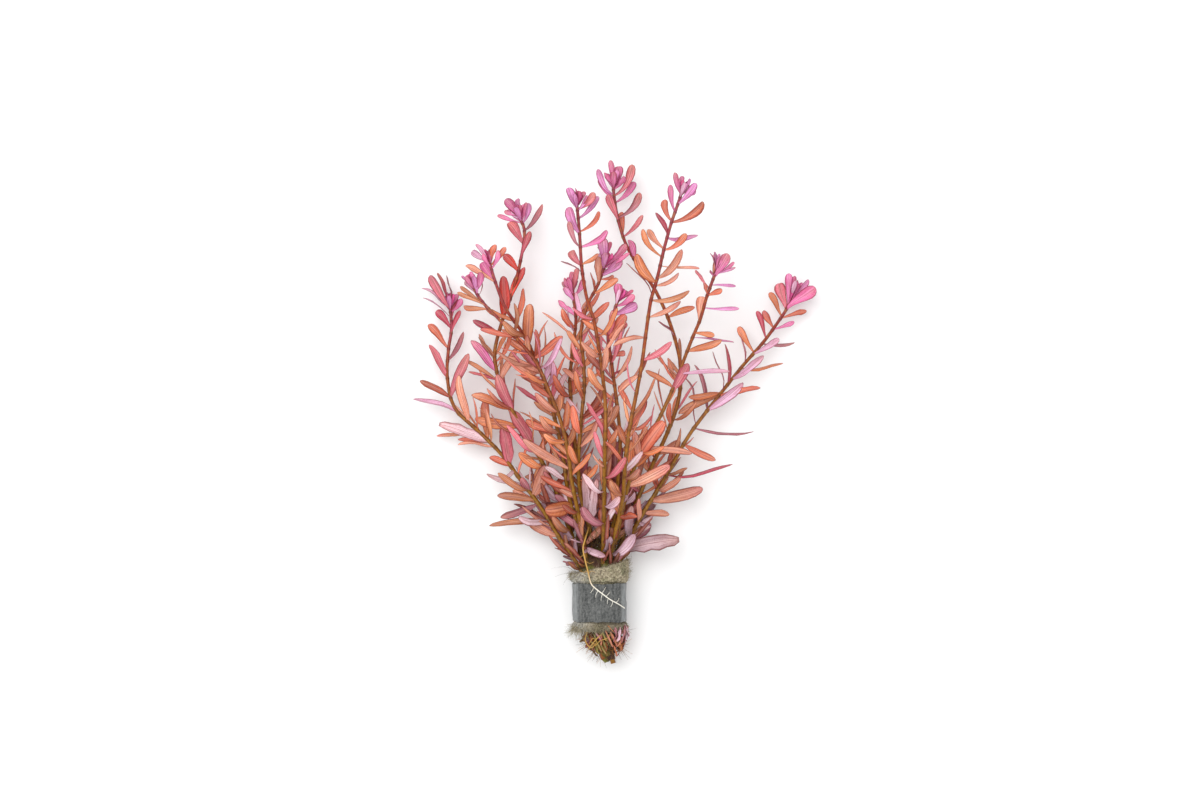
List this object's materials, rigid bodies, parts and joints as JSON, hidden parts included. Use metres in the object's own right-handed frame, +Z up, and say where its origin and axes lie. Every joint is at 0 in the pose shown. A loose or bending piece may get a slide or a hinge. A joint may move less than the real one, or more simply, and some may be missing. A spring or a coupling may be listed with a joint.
{
  "type": "rotala bunch",
  "caption": "Bunch of cut red and pink rotala stems lying on its side, its feet wrapped in foam and held together by a soft lead strip.",
  "frame": {"origin": "middle of the lead strip's flat underside, on the surface the bunch lies on", "axes": "+Y runs up the bunch from the strip to the crowns, +X across it, +Z up from the surface"},
  "size_m": [0.1602, 0.2003, 0.0471],
  "materials": {
    "foliage": "satin",
    "foam": "matte",
    "lead": "satin"
  },
  "bodies": {
    "root": {"stem_01": "foliage", "stem_02": "foliage", "stem_03": "foliage", "stem_04": "foliage", "stem_05": "foliage", "stem_06": "foliage", "stem_07": "foliage", "stem_08": "foliage", "stem_09": "foliage", "stem_10": "foliage", "stem_11": "foliage", "stem_12": "foliage", "foam_wrap": "foam", "lead_strip": "lead"}
  },
  "joints": []
}
